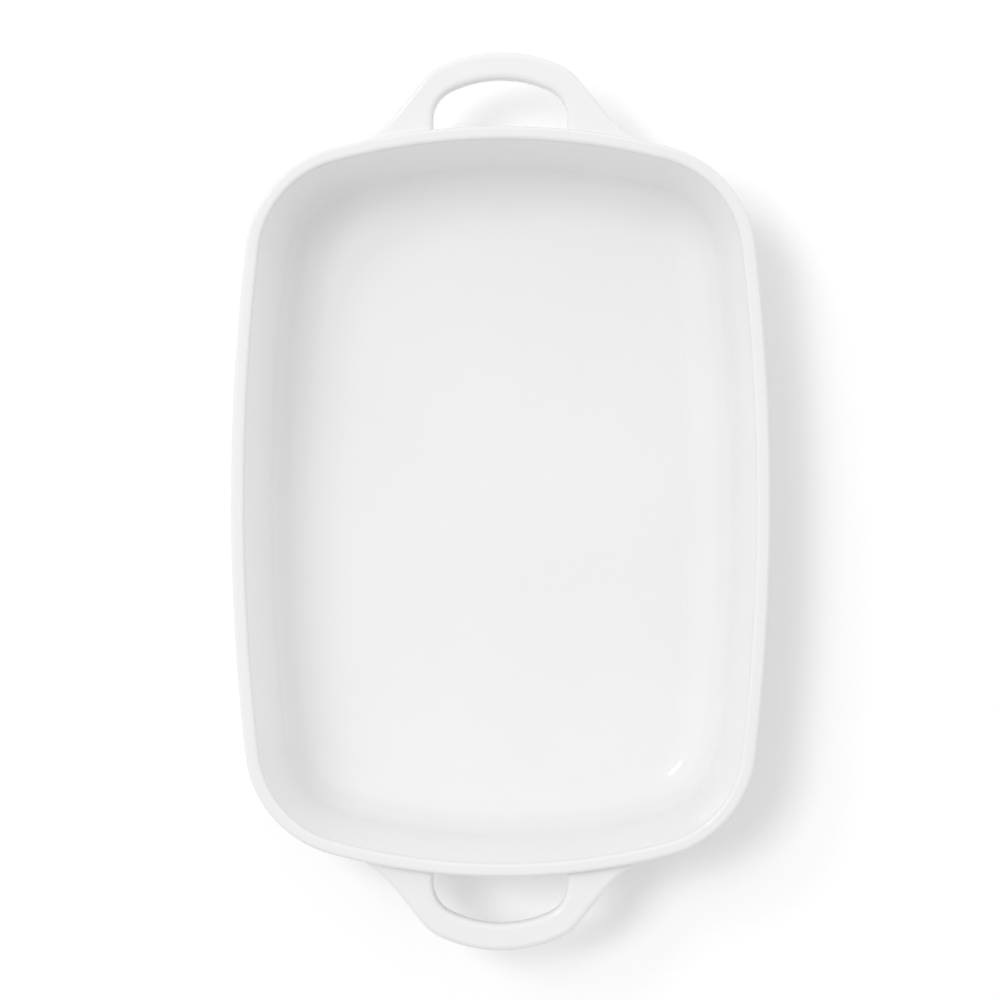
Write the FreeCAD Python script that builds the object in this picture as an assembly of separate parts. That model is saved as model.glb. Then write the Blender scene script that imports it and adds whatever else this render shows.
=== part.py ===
import FreeCAD, Part
import math
import os

# Lasagna dish in glazed stoneware: a flared basin with a loop handle luted to each short end.
# Millimetres and degrees. The origin is on the table under the middle of the dish,
# +Z is up and +Y runs along the dish to the back handle.

# Rim, measured outside, at its edge before that is rounded
rim_width = 241.0
rim_length = 335.0
rim_corner_radius = 52.0
side_bow_angle = 6.6  # a long side turns this far either way from its middle
end_bow_angle = 14.8  # a short end turns this far either way from its middle

# Walls and floor
dish_height = 68.0
wall_thickness = 6.0
floor_thickness = 6.5
wall_draft = 11.5  # lean of the walls from upright
cove_radius = 23.0  # hollow between floor and walls
rim_edge_radius = 1.8

# Foot ring
foot_height = 2.0
foot_width = 7.0
foot_step = 1.5  # flat between the round heel and the ring
foot_chamfer = 0.8

# Loop handles, in plan
handle_reach = 33.5  # past the rim
bar_width = 12.2  # at the crown
crown_radius = 64.0
crown_angle = 25.0  # turn of the crown to each side
shoulder_radius = 22.0
flank_angle = 51.0  # lean of the flanks from the crown's tangent
flare_radius = 52.0  # hollow between flank and root
root_angle = 15.0  # between the outer edge and the wall that it runs into
root_rise = 2.0  # how far off the wall the flare ends
finger_gap_width = 60.0

# Loop handles, from the side
handle_drop = 6.0  # top of the handle under the rim
handle_thickness = 10.0
handle_edge_radius = 2.8
handle_root_radius = 2.6

# Luted joints between the handles and the wall
seat_height = 0.6  # raised seat on the wall
slip_thickness = 1.0

overlap = 1.0  # how far a block runs past the face that it joins or cuts
fillet_share = 0.85  # a fillet takes at most this share of the room it has
touching = 0.02  # what is nearer than this counts as touching

up = FreeCAD.Vector(0, 0, 1)
middle = FreeCAD.Vector(0, 0, 0)


def tangent(degrees):
    return math.tan(math.radians(degrees))


def wall_inset(level):
    # how far the flared wall has come in from the rim's edge at this level
    return (dish_height - level) * tangent(wall_draft)


floor_level = foot_height + floor_thickness
round_reach = tangent(45 - wall_draft / 2)  # reach of a round between wall and floor, for each mm of radius
foot_span = foot_step + foot_width + 2 * overlap
heel_room = (rim_corner_radius - wall_inset(foot_height) - foot_span) / round_reach
heel_radius = min(cove_radius + wall_thickness, heel_room)
foot_inset = wall_inset(foot_height) + heel_radius * round_reach + foot_step
core_inset = foot_inset + foot_width + overlap
foot_depth = wall_thickness * fillet_share
clear_of_loop = handle_reach + wall_inset(0) + overlap
rim_round = min(rim_edge_radius, wall_thickness / 2 * fillet_share)
upright = math.cos(math.radians(wall_draft))  # rise for each mm up the wall
root_room = handle_drop / upright - rim_round / round_reach
root_round = min(handle_root_radius, root_room * round_reach * fillet_share)
handle_top = dish_height - handle_drop
handle_bottom = handle_top - handle_thickness


def rim_arcs():
    # the rim in plan as eight tangent arcs, each a centre, a radius, a start and a turn
    alpha = math.radians(side_bow_angle)
    beta = math.radians(end_bow_angle)
    across = rim_corner_radius * (math.cos(alpha) - math.sin(beta)) - rim_width / 2
    along = rim_corner_radius * (math.sin(alpha) - math.cos(beta)) + rim_length / 2
    side_flat = math.cos(alpha) - 1
    end_flat = 1 - math.cos(beta)
    scale = side_flat * end_flat + math.sin(alpha) * math.sin(beta)
    side_radius = (across * end_flat + along * math.sin(beta)) / scale
    end_radius = (along * side_flat - across * math.sin(alpha)) / scale
    side_centre = FreeCAD.Vector(rim_width / 2 - side_radius, 0, 0)
    end_centre = FreeCAD.Vector(0, rim_length / 2 - end_radius, 0)
    out = FreeCAD.Vector(math.cos(alpha), math.sin(alpha), 0)
    right_corner = side_centre + out * (side_radius - rim_corner_radius)
    left_corner = FreeCAD.Vector(-right_corner.x, right_corner.y, 0)
    corner_turn = 90 - side_bow_angle - end_bow_angle
    half = [
        (side_centre, side_radius, -side_bow_angle, 2 * side_bow_angle),
        (right_corner, rim_corner_radius, side_bow_angle, corner_turn),
        (end_centre, end_radius, 90 - end_bow_angle, 2 * end_bow_angle),
        (left_corner, rim_corner_radius, 90 + end_bow_angle, corner_turn),
    ]
    return half + [(centre * -1, radius, start + 180, turn) for centre, radius, start, turn in half]


def rounded_face(corners):
    # face in the XZ plane with the given corners, each rounded with its radius where that isn't 0
    edges = []
    last = None
    count = len(corners)
    for index in range(count + 1):
        x, z, radius = corners[index % count]
        corner = FreeCAD.Vector(x, 0, z)
        previous = corners[index % count - 1]
        following = corners[(index + 1) % count]
        before = (FreeCAD.Vector(previous[0], 0, previous[1]) - corner).normalize()
        after = (FreeCAD.Vector(following[0], 0, following[1]) - corner).normalize()
        half_angle = before.getAngle(after) / 2
        reach = radius / math.tan(half_angle)
        arrive = corner + before * reach
        leave = corner + after * reach
        if index > 0:
            edges.append(Part.makeLine(last, arrive))
        if radius > 0 and index < count:
            inward = (before + after).normalize()
            nearest = corner + inward * (radius / math.sin(half_angle) - radius)
            edges.append(Part.Arc(arrive, nearest, leave).toShape())
        last = leave
    return Part.Face(Part.Wire(edges))


def wall_sector(arc, corners):
    # solid whose section has the given corners, as inset, level and radius, turned along one arc of the rim
    centre, radius, start, turn = arc
    section = rounded_face([(radius - inset, level, rounding) for inset, level, rounding in corners])
    sector = section.revolve(middle, up, turn)
    sector.rotate(middle, up, start)
    sector.translate(centre)
    return sector


def floor_core():
    # middle of the floor, inside the foot ring
    edges = []
    for centre, radius, start, turn in rim_arcs():
        circle = Part.Circle(centre + up * foot_height, up, radius - core_inset)
        edges.append(Part.ArcOfCircle(circle, math.radians(start), math.radians(start + turn)).toShape())
    return Part.Face(Part.Wire(edges)).extrude(up * floor_thickness)


def basin():
    # walls, rim, cove, heel and foot ring round the whole dish, closed by the middle of the floor
    cove_room = (rim_corner_radius - wall_thickness - wall_inset(floor_level) - overlap) / round_reach
    corners = [
        (core_inset, floor_level, 0),
        (wall_thickness + wall_inset(floor_level), floor_level, min(cove_radius, cove_room)),
        (wall_thickness, dish_height, rim_round),
        (0, dish_height, rim_round),
        (wall_inset(foot_height), foot_height, heel_radius),
        (foot_inset, foot_height, 0),
        (foot_inset, foot_chamfer, 0),
        (foot_inset + foot_chamfer, 0, 0),
        (foot_inset + foot_width - foot_chamfer, 0, 0),
        (foot_inset + foot_width, foot_chamfer, 0),
        (foot_inset + foot_width, foot_height, 0),
        (core_inset, foot_height, 0),
    ]
    sectors = [wall_sector(arc, corners) for arc in rim_arcs()]
    return floor_core().fuse(sectors).removeSplitter().Solids[0]


def traced(start, moves):
    # smooth path in plan that leaves start along +X: each move is a radius and a turn to the right,
    # to the left where it is negative, or no radius and a straight run
    edges = []
    point = start
    heading = 0.0
    for radius, amount in moves:
        along = FreeCAD.Rotation(up, heading).multVec(FreeCAD.Vector(1, 0, 0))
        if radius is None:
            finish = point + along * amount
            edges.append(Part.makeLine(point, finish))
        else:
            centre = point + along.cross(up) * math.copysign(radius, amount)
            midway = centre + FreeCAD.Rotation(up, -amount / 2).multVec(point - centre)
            finish = centre + FreeCAD.Rotation(up, -amount).multVec(point - centre)
            edges.append(Part.Arc(point, midway, finish).toShape())
            heading -= amount
        point = finish
    return edges, point


def end_sector(near, far, spread=2, bottom=0, top=dish_height):
    # space off the back wall from one distance to another, over this many times the wall's own arc
    centre, radius, start, turn = rim_arcs()[2]
    corners = [
        (wall_inset(top) - near, top, 0),
        (wall_inset(bottom) - near, bottom, 0),
        (wall_inset(bottom) - far, bottom, 0),
        (wall_inset(top) - far, top, 0),
    ]
    return wall_sector((centre, radius, start + turn * (1 - spread) / 2, turn * spread), corners)


def run_to(radius, centre, point, heading):
    # straight run from the point along the heading to a circle round the centre
    along = FreeCAD.Rotation(up, -heading).multVec(FreeCAD.Vector(1, 0, 0))
    apart = FreeCAD.Vector(point.x - centre.x, point.y - centre.y, 0)
    return -apart.dot(along) - math.sqrt(apart.dot(along) ** 2 - apart.dot(apart) + radius ** 2)


def outer_curve(tip):
    # moves from the tip of the back loop down one side into the wall, which they meet at the root's angle
    centre, radius = rim_arcs()[2][:2]
    wall_radius = radius - wall_inset((handle_top + handle_bottom) / 2)
    root_radius = wall_radius + root_rise
    lean = math.radians(root_angle)
    crown = [(crown_radius, crown_angle), (shoulder_radius, flank_angle - crown_angle)]
    flank = FreeCAD.Rotation(up, -flank_angle).multVec(FreeCAD.Vector(1, 0, 0))
    flare_start = traced(tip, crown)[1] + up.cross(flank) * flare_radius
    flare_reach = root_radius + flare_radius * math.cos(lean)
    flare_span = math.hypot(flare_reach, flare_radius * math.sin(lean))
    flank_length = run_to(flare_span, centre, flare_start, flank_angle)
    flare_centre = flare_start + flank * flank_length
    bearing = math.atan2(flare_centre.x - centre.x, flare_centre.y - centre.y)
    root_bearing = bearing - math.asin(flare_radius * math.sin(lean) / flare_span)
    root_heading = math.degrees(root_bearing + lean)
    curve = crown + [(None, flank_length), (flare_radius, root_heading - flank_angle)]
    root_run = run_to(wall_radius - wall_thickness / 2, centre, traced(tip, curve)[1], root_heading)
    return curve + [(None, root_run)]


def handle_plan(tip):
    # outline of the back loop from above, its feet run on into the wall
    outer, outer_end = traced(tip, outer_curve(tip))
    gap_top = tip - FreeCAD.Vector(0, bar_width, 0)
    gap_crown_radius = crown_radius - bar_width
    crown_reach = math.sin(math.radians(crown_angle))
    gap_shoulder_radius = (finger_gap_width / 2 - gap_crown_radius * crown_reach) / (1 - crown_reach)
    gap_curve = [(gap_crown_radius, crown_angle), (gap_shoulder_radius, 90 - crown_angle)]
    gap_side = traced(gap_top, gap_curve)[1]
    inner, inner_end = traced(gap_top, gap_curve + [(None, gap_side.y - outer_end.y)])
    half = outer + inner + [Part.makeLine(outer_end, inner_end)]
    mirrored = [edge.mirror(middle, FreeCAD.Vector(1, 0, 0)) for edge in half]
    return Part.Wire(Part.__sortEdges__(half + mirrored))


def loop():
    # the back loop with round edges, its feet ending inside the thickness of the wall
    tip = FreeCAD.Vector(0, rim_length / 2 + handle_reach, handle_bottom)
    block = Part.Face(handle_plan(tip)).extrude(up * handle_thickness)
    level = [edge for edge in block.Edges if edge.BoundBox.ZLength < touching]
    rounded = [edge for edge in level if edge.CenterOfMass.y > block.BoundBox.YMin + touching]
    edge_round = min(handle_edge_radius, handle_thickness / 2 * fillet_share)
    return block.makeFillet(edge_round, rounded).common(end_sector(-foot_depth, clear_of_loop))


def on_both(edge, first, second):
    spot = Part.Vertex(edge.valueAt((edge.FirstParameter + edge.LastParameter) / 2))
    return max(spot.distToShape(first)[0], spot.distToShape(second)[0]) < touching


def rooted(loop_solid):
    # the loop on a plain wall, with hollow fillets where it runs into that
    wall = end_sector(-wall_thickness, 0)
    form = wall.fuse(loop_solid)
    roots = [edge for edge in form.Edges if on_both(edge, wall.Shells[0], loop_solid.Shells[0])]
    return form.makeFillet(root_round, roots)


def turned(shape):
    front = shape.copy()
    front.rotate(middle, up, 180)
    return front


back_loop = loop()
back_form = rooted(back_loop)
slip_end = seat_height + slip_thickness
root_top = handle_top + root_round / round_reach * upright
rim_round_start = dish_height - rim_round / round_reach * upright
seat_top = (root_top + rim_round_start) / 2
seat_bottom = handle_bottom - root_round * round_reach * upright - overlap
seats = back_form.common(end_sector(-foot_depth, seat_height, 1, seat_bottom, seat_top))
beyond_arc = end_sector(-foot_depth, seat_height).cut(end_sector(-wall_thickness, clear_of_loop, 1))
feet = back_loop.common(beyond_arc)  # none where the roots keep to the wall's own arc
seated = seats.Solids + feet.Solids
slip = Part.makeCompound(back_form.common(end_sector(seat_height, slip_end)).Solids)
handle = back_form.common(end_sector(slip_end, clear_of_loop)).Solids[0]

parts = {
    "dish_body": basin().fuse(seated + [turned(solid) for solid in seated]).removeSplitter().Solids[0],
    "back_handle": handle,
    "front_handle": turned(handle),
    "back_handle_slip": slip,
    "front_handle_slip": turned(slip),
}

os.makedirs("parts", exist_ok=True)
for name, shape in parts.items():
    shape.exportStep("parts/" + name + ".step")
    box = shape.optimalBoundingBox(False)
    print(name, len(shape.Solids), "solids, valid", shape.isValid(), "volume", round(shape.Volume),
          "size", round(box.XLength, 2), round(box.YLength, 2), round(box.ZLength, 2))
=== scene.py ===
import math

import bpy
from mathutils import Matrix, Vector

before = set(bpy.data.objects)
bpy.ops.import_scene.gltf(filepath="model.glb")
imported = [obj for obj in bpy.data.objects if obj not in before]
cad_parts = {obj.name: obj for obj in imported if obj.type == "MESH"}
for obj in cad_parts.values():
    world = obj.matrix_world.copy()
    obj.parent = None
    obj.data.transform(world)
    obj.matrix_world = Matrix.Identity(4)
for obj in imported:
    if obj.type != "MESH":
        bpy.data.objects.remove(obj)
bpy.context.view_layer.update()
print("frame loaded:", ", ".join(sorted(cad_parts)))

white = (1.0, 1.0, 1.0, 1.0)


def addNode(tree, kind, place, **settings):
    node = tree.nodes.new(kind)
    node.location = place
    for name, value in settings.items():
        setattr(node, name, value)
    return node


def feed(tree, value, socket):
    # another node's output is linked, a plain number or colour is set on the socket
    if isinstance(value, bpy.types.NodeSocket):
        tree.links.new(value, socket)
    else:
        socket.default_value = value


def mathNode(tree, operation, place, first, second, clamp=False):
    node = addNode(tree, "ShaderNodeMath", place, operation=operation, use_clamp=clamp)
    feed(tree, first, node.inputs[0])
    feed(tree, second, node.inputs[1])
    return node.outputs[0]


def mixColour(tree, place, factor, first, second):
    node = addNode(tree, "ShaderNodeMix", place, data_type="RGBA")
    feed(tree, factor, node.inputs[0])
    feed(tree, first, node.inputs[6])
    feed(tree, second, node.inputs[7])
    return node.outputs[2]


def mixValue(tree, place, factor, first, second):
    node = addNode(tree, "ShaderNodeMix", place, data_type="FLOAT")
    feed(tree, factor, node.inputs[0])
    feed(tree, first, node.inputs[2])
    feed(tree, second, node.inputs[3])
    return node.outputs[0]


def ramp(tree, place, value, low, high):
    # eases from 0 at low to 1 at high, also where high is the smaller one
    node = addNode(tree, "ShaderNodeMapRange", place, interpolation_type="SMOOTHSTEP")
    feed(tree, value, node.inputs["Value"])
    node.inputs["From Min"].default_value = low
    node.inputs["From Max"].default_value = high
    return node.outputs["Result"]


def noise(tree, place, where, size, detail=2.0, roughness=0.5):
    node = addNode(tree, "ShaderNodeTexNoise", place)
    feed(tree, where, node.inputs["Vector"])
    feed(tree, size, node.inputs["Scale"])
    node.inputs["Detail"].default_value = detail
    node.inputs["Roughness"].default_value = roughness
    return node.outputs["Fac"]


def objectPlace(tree, place):
    return addNode(tree, "ShaderNodeTexCoord", place).outputs["Object"]


whiteGlaze = {
    "pooledTint": (0.866, 0.869, 0.870, 1.0),  # where the glaze pools, it is a little cooler
    "glossRoughness": 0.09,
    "smudgeRoughness": 0.05,
    "ior": 1.52,
    "reliefDepth": 0.00012,  # metres from the bottom to the top of the waves
    "rollSize": 38.0,  # long soft waves of the fired surface, per metre
    "peelSize": 700.0,  # fine orange peel, per metre
    "peelShare": 0.035,  # its height against the long waves
    "driftSize": 9.0,  # patches of pooled glaze, per metre
    "driftSpan": (0.35, 0.75),
    "smudgeSize": 24.0,
    "smudgeSpan": (0.40, 0.72),
    "pinholeSize": 55.0,  # cells per metre, one pinhole at most in each
    "pinholeChance": (0.90, 0.93),  # about one cell in twelve has a pinhole
    "pinholeEdge": (0.022, 0.012),  # from its edge to its bottom, in cells
    "pinholeTint": (0.45, 0.42, 0.38, 1.0),
    "pinholeShade": 0.35,
    "pinholeDepth": 0.5,  # against the long waves
}


def buildFiredSurface():
    # what the kiln leaves in the glaze: soft waves, orange peel, a few pinholes and a drifting tone
    group = bpy.data.node_groups.new("firedSurface", "ShaderNodeTree")
    wanted = {
        "Coordinates": "NodeSocketVector",
        "Colour": "NodeSocketColor",
        "Pooled Colour": "NodeSocketColor",
        "Roll Size": "NodeSocketFloat",
        "Peel Size": "NodeSocketFloat",
        "Pinhole Size": "NodeSocketFloat",
        "Gloss Roughness": "NodeSocketFloat",
        "Smudge": "NodeSocketFloat",
    }
    results = {"Colour": "NodeSocketColor", "Roughness": "NodeSocketFloat", "Height": "NodeSocketFloat"}
    for name, kind in wanted.items():
        group.interface.new_socket(name, in_out="INPUT", socket_type=kind)
    for name, kind in results.items():
        group.interface.new_socket(name, in_out="OUTPUT", socket_type=kind)
    given = addNode(group, "NodeGroupInput", (-1200, 0)).outputs
    made = addNode(group, "NodeGroupOutput", (900, 0)).inputs
    where = given["Coordinates"]

    roll = noise(group, (-800, 400), where, given["Roll Size"], 1.5, 0.4)
    peel = noise(group, (-800, 150), where, given["Peel Size"], 1.0)
    drift = noise(group, (-800, -100), where, whiteGlaze["driftSize"], 2.0, 0.55)
    smudge = noise(group, (-800, -350), where, whiteGlaze["smudgeSize"], 3.0, 0.6)

    cells = addNode(group, "ShaderNodeTexVoronoi", (-800, -600), feature="F1", distance="EUCLIDEAN")
    feed(group, where, cells.inputs["Vector"])
    feed(group, given["Pinhole Size"], cells.inputs["Scale"])
    cells.inputs["Randomness"].default_value = 1.0
    draw = addNode(group, "ShaderNodeSeparateColor", (-600, -750))
    feed(group, cells.outputs["Color"], draw.inputs["Color"])
    chosen = ramp(group, (-400, -750), draw.outputs["Red"], *whiteGlaze["pinholeChance"])
    dot = ramp(group, (-400, -550), cells.outputs["Distance"], *whiteGlaze["pinholeEdge"])
    pinhole = mathNode(group, "MULTIPLY", (-200, -650), chosen, dot)

    pooled = ramp(group, (-500, -100), drift, *whiteGlaze["driftSpan"])
    tone = mixColour(group, (-100, 100), pooled, given["Colour"], given["Pooled Colour"])
    dark = mathNode(group, "MULTIPLY", (0, -300), pinhole, whiteGlaze["pinholeShade"])
    feed(group, mixColour(group, (250, 100), dark, tone, whiteGlaze["pinholeTint"]), made["Colour"])

    streak = ramp(group, (-500, -350), smudge, *whiteGlaze["smudgeSpan"])
    extra = mathNode(group, "MULTIPLY", (-100, -350), streak, given["Smudge"])
    feed(group, mathNode(group, "ADD", (150, -350), extra, given["Gloss Roughness"]), made["Roughness"])

    grain = mathNode(group, "MULTIPLY", (-450, 200), peel, whiteGlaze["peelShare"])
    surface = mathNode(group, "ADD", (-200, 300), roll, grain)
    sunk = mathNode(group, "MULTIPLY", (0, -500), pinhole, whiteGlaze["pinholeDepth"])
    feed(group, mathNode(group, "SUBTRACT", (250, 300), surface, sunk), made["Height"])
    return group


firedSurface = buildFiredSurface()
print("node groups built:", firedSurface.name)


def startMaterial(name):
    material = bpy.data.materials.new(name)
    material.use_nodes = True
    tree = material.node_tree
    tree.nodes.clear()
    shader = addNode(tree, "ShaderNodeBsdfPrincipled", (900, 0))
    output = addNode(tree, "ShaderNodeOutputMaterial", (1250, 0))
    tree.links.new(shader.outputs["BSDF"], output.inputs["Surface"])
    return material, tree, shader


def addFired(tree, where, colour):
    fired = addNode(tree, "ShaderNodeGroup", (-300, 100), node_tree=firedSurface)
    feed(tree, where, fired.inputs["Coordinates"])
    fired.inputs["Colour"].default_value = colour
    fired.inputs["Pooled Colour"].default_value = whiteGlaze["pooledTint"]
    fired.inputs["Roll Size"].default_value = whiteGlaze["rollSize"]
    fired.inputs["Peel Size"].default_value = whiteGlaze["peelSize"]
    fired.inputs["Pinhole Size"].default_value = whiteGlaze["pinholeSize"]
    fired.inputs["Gloss Roughness"].default_value = whiteGlaze["glossRoughness"]
    fired.inputs["Smudge"].default_value = whiteGlaze["smudgeRoughness"]
    return fired.outputs


def addRelief(tree, height, shader):
    bump = addNode(tree, "ShaderNodeBump", (600, -300))
    bump.inputs["Strength"].default_value = 1.0
    bump.inputs["Distance"].default_value = whiteGlaze["reliefDepth"]
    feed(tree, height, bump.inputs["Height"])
    feed(tree, bump.outputs["Normal"], shader.inputs["Normal"])


shadedHandle = {
    "colour": (0.846, 0.846, 0.844, 1.0),  # painted shade: a little darker than the basin's glaze, for the shade the handles fall in
}


def buildHandleGlaze(name):
    # glossy white glaze on the handles and their joints, its colour darkened a little as painted shade
    material, tree, shader = startMaterial(name)
    shader.inputs["IOR"].default_value = whiteGlaze["ior"]
    fired = addFired(tree, objectPlace(tree, (-900, 0)), shadedHandle["colour"])
    feed(tree, fired["Colour"], shader.inputs["Base Color"])
    feed(tree, fired["Roughness"], shader.inputs["Roughness"])
    addRelief(tree, fired["Height"], shader)
    return material


dishBody = {
    "colour": (0.885, 0.885, 0.883, 1.0),
    "thinGlazeAndShadeTint": (0.822, 0.821, 0.816, 1.0),  # where the glaze thins over an edge the clay shows through; this tint is also painted shade that darkens the rim
    "thinStart": 0.0648,  # the glaze starts to thin just below the rounded lip
    "lip": 0.0665,
    "land": 0.0679,  # the flat top holds more glaze than the lips, and gets less of the painted shade
    "landShare": 0.55,
    "dripSize": 90.0,
    "dripHeight": 0.0006,
}

footRing = {
    "colour": (0.66, 0.60, 0.52, 1.0),
    "sandTint": (0.50, 0.44, 0.37, 1.0),
    "roughness": 0.82,
    "grainSize": 1500.0,
    "top": 0.0011,  # the ring is wiped clean of glaze up to here
    "wipeEdge": 0.00025,
    "wipeSize": 120.0,
    "wipeWave": 0.00035,
}


def buildBodyGlaze(name):
    # the same glaze on the basin, thinner over the rim, where painted shade also darkens it, and wiped
    # off the foot ring
    material, tree, shader = startMaterial(name)
    shader.inputs["IOR"].default_value = whiteGlaze["ior"]
    where = objectPlace(tree, (-900, 0))
    axes = addNode(tree, "ShaderNodeSeparateXYZ", (-700, -300))
    feed(tree, where, axes.inputs["Vector"])
    upward = axes.outputs["Z"]
    fired = addFired(tree, where, dishBody["colour"])

    wobble = noise(tree, (-700, -550), where, footRing["wipeSize"])
    wave = mathNode(tree, "MULTIPLY", (-450, -550), wobble, footRing["wipeWave"])
    level = mathNode(tree, "ADD", (-250, -450), upward, wave)
    bare = ramp(tree, (-50, -450), level, footRing["top"] + footRing["wipeEdge"], footRing["top"])
    sand = noise(tree, (-450, -800), where, footRing["grainSize"], 2.0, 0.6)
    clay = mixColour(tree, (100, -700), sand, footRing["colour"], footRing["sandTint"])

    drip = noise(tree, (-700, 350), where, dishBody["dripSize"])
    sway = mathNode(tree, "MULTIPLY", (-500, 350), drip, dishBody["dripHeight"])
    height = mathNode(tree, "ADD", (-300, 400), upward, sway)
    # the rim's lips and flat top are darkened: partly thinning glaze, partly painted shade
    lip = ramp(tree, (-100, 450), height, dishBody["thinStart"], dishBody["lip"])
    land = ramp(tree, (-100, 300), upward, dishBody["lip"], dishBody["land"])
    held = mathNode(tree, "MULTIPLY", (100, 300), land, 1.0 - dishBody["landShare"])
    thinAndShade = mathNode(tree, "SUBTRACT", (250, 400), lip, held, clamp=True)
    glazed = mixColour(tree, (350, 300), thinAndShade, fired["Colour"], dishBody["thinGlazeAndShadeTint"])

    colour = mixColour(tree, (550, 150), bare, glazed, clay)
    rough = mixValue(tree, (350, -100), bare, fired["Roughness"], footRing["roughness"])
    relief = mixValue(tree, (350, -350), bare, fired["Height"], sand)
    feed(tree, colour, shader.inputs["Base Color"])
    feed(tree, rough, shader.inputs["Roughness"])
    addRelief(tree, relief, shader)
    return material


bodyGlaze = buildBodyGlaze("bodyGlaze")
handleGlaze = buildHandleGlaze("handleGlaze")
jointGlaze = buildHandleGlaze("jointGlaze")
finishes = {
    "dish_body": bodyGlaze,
    "back_handle": handleGlaze,
    "front_handle": handleGlaze,
    "back_handle_slip": jointGlaze,
    "front_handle_slip": jointGlaze,
}
for nodeName, material in finishes.items():
    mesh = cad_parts[nodeName].data
    mesh.materials.clear()
    mesh.materials.append(material)
print("glaze on", len(finishes), "nodes")

paperFloor = {
    "half": 6.0,
    "colour": (0.95, 0.95, 0.95, 1.0),
    "bounce": (0.80, 0.80, 0.80, 1.0),  # what the floor throws back at the dish
    "roughness": 0.9,
    "lift": 0.07,  # what camera and glossy rays see on top of the lit floor, so that it reads white
    "fadeStart": 0.42,  # from here out the floor fades to the white behind it
    "fadeEnd": 1.4,
}


def buildFloor():
    bpy.ops.object.select_all(action="DESELECT")
    bpy.ops.mesh.primitive_plane_add(size=2 * paperFloor["half"], location=(0, 0, 0))
    floor = bpy.context.object
    floor.name = "studioFloor"
    material, tree, shader = startMaterial("floorPaper")
    shader.inputs["Roughness"].default_value = paperFloor["roughness"]
    shader.inputs["Specular IOR Level"].default_value = 0.0
    shader.inputs["Emission Color"].default_value = white
    rays = addNode(tree, "ShaderNodeLightPath", (-200, -200)).outputs
    seen = mathNode(tree, "MAXIMUM", (50, -200), rays["Is Camera Ray"], rays["Is Glossy Ray"])
    paper = mixColour(tree, (450, 100), seen, paperFloor["bounce"], paperFloor["colour"])
    feed(tree, paper, shader.inputs["Base Color"])

    reach = addNode(tree, "ShaderNodeVectorMath", (-400, -600), operation="LENGTH")
    feed(tree, objectPlace(tree, (-600, -600)), reach.inputs[0])
    far = ramp(tree, (-200, -600), reach.outputs["Value"], paperFloor["fadeStart"], paperFloor["fadeEnd"])
    lift = mathNode(tree, "MULTIPLY", (250, -200), seen, paperFloor["lift"])
    fade = mathNode(tree, "MULTIPLY", (50, -500), rays["Is Camera Ray"], far)
    feed(tree, mathNode(tree, "ADD", (450, -300), lift, fade), shader.inputs["Emission Strength"])
    floor.data.materials.append(material)


evenSky = {
    "light": 0.48,
    "wallRise": 8.0,  # degrees above the horizon at which a studio wall is brightest
}

studioWalls = [
    {"name": "rightWall", "azimuth": 0.0, "light": 0.57},
    {"name": "backWall", "azimuth": 90.0, "light": 0.43},
    {"name": "leftWall", "azimuth": 180.0, "light": 0.46},
    {"name": "frontWall", "azimuth": 270.0, "light": 0.06},
]


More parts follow.
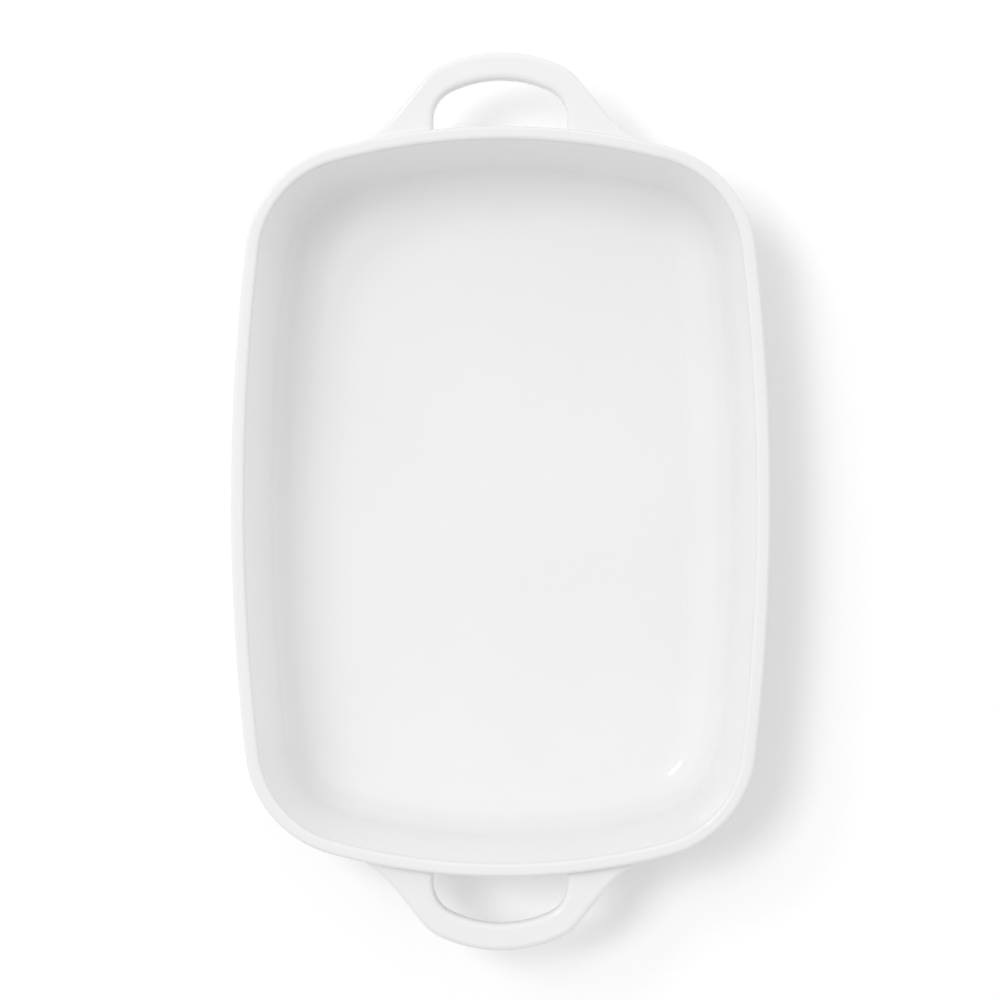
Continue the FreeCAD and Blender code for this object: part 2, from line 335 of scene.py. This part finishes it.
def buildSky():
    # an even sky, lighter towards four soft studio walls, and plain white where the camera looks at it
    world = bpy.data.worlds.new("studioSky")
    bpy.context.scene.world = world
    world.use_nodes = True
    tree = world.node_tree
    tree.nodes.clear()
    direction = addNode(tree, "ShaderNodeTexCoord", (-1400, 100)).outputs["Generated"]
    rise = math.radians(evenSky["wallRise"])
    total = evenSky["light"]
    for row, wall in enumerate(studioWalls):
        turn = math.radians(wall["azimuth"])
        level = -220 * row
        towards = (math.cos(rise) * math.cos(turn), math.cos(rise) * math.sin(turn), math.sin(rise))
        facing = addNode(tree, "ShaderNodeVectorMath", (-1150, level), operation="DOT_PRODUCT")
        facing.label = wall["name"]
        feed(tree, direction, facing.inputs[0])
        feed(tree, towards, facing.inputs[1])
        front = mathNode(tree, "MAXIMUM", (-950, level), facing.outputs["Value"], 0.0)
        soft = mathNode(tree, "POWER", (-750, level), front, 2.0)
        part = mathNode(tree, "MULTIPLY", (-550, level), soft, wall["light"])
        total = mathNode(tree, "ADD", (-350, level), part, total)
    light = addNode(tree, "ShaderNodeBackground", (-100, 100))
    light.inputs["Color"].default_value = white
    feed(tree, total, light.inputs["Strength"])
    backdrop = addNode(tree, "ShaderNodeBackground", (-100, -100))
    backdrop.inputs["Color"].default_value = white
    backdrop.inputs["Strength"].default_value = 1.0
    rays = addNode(tree, "ShaderNodeLightPath", (-100, 450))
    mix = addNode(tree, "ShaderNodeMixShader", (150, 0))
    output = addNode(tree, "ShaderNodeOutputWorld", (400, 0))
    feed(tree, rays.outputs["Is Camera Ray"], mix.inputs[0])
    feed(tree, light.outputs[0], mix.inputs[1])
    feed(tree, backdrop.outputs[0], mix.inputs[2])
    feed(tree, mix.outputs[0], output.inputs["Surface"])


softboxes = [
    {"name": "keyBox", "azimuth": 142.0, "elevation": 51.0, "distance": 4.0,
     "wide": 1.0, "high": 0.55, "power": 10.5, "mirrored": True},
    {"name": "broadBox", "azimuth": 153.0, "elevation": 69.0, "distance": 4.0,
     "wide": 1.3, "high": 1.05, "power": 44.5, "mirrored": False},  # the glaze shows one small highlight
]


def addSoftbox(box):
    azimuth = math.radians(box["azimuth"])
    elevation = math.radians(box["elevation"])
    reach = box["distance"] * math.cos(elevation)
    rise = box["distance"] * math.sin(elevation)
    lamp = bpy.data.lights.new(box["name"], "AREA")
    lamp.shape = "RECTANGLE"
    lamp.size = box["wide"]
    lamp.size_y = box["high"]
    lamp.energy = box["power"]
    holder = bpy.data.objects.new(box["name"], lamp)
    holder.location = (reach * math.cos(azimuth), reach * math.sin(azimuth), rise)
    holder.rotation_euler = (math.pi / 2 - elevation, 0, azimuth + math.pi / 2)
    holder.visible_glossy = box["mirrored"]
    bpy.context.scene.collection.objects.link(holder)


overheadCamera = {
    "place": (0.0503, 0.0006, 1.3),  # a little to the right, as the wider left wall shows
    "aim": (0.0003, 0.0006, 0.068),
    "lens": 99.9,
    "sensor": 36.0,
    "nearest": 0.05,
    "farthest": 50.0,
}


def addCamera():
    lens = bpy.data.cameras.new("overheadCamera")
    lens.lens = overheadCamera["lens"]
    lens.sensor_width = overheadCamera["sensor"]
    lens.clip_start = overheadCamera["nearest"]
    lens.clip_end = overheadCamera["farthest"]
    holder = bpy.data.objects.new("overheadCamera", lens)
    place = Vector(overheadCamera["place"])
    sight = Vector(overheadCamera["aim"]) - place
    holder.location = place
    holder.rotation_euler = (0, math.atan2(-sight.x, -sight.z), 0)
    bpy.context.scene.collection.objects.link(holder)
    bpy.context.scene.camera = holder


buildFloor()
buildSky()
for box in softboxes:
    addSoftbox(box)
addCamera()
bpy.context.scene.view_settings.view_transform = "Standard"
print("studio set with", len(softboxes), "softboxes and", len(studioWalls), "soft walls")
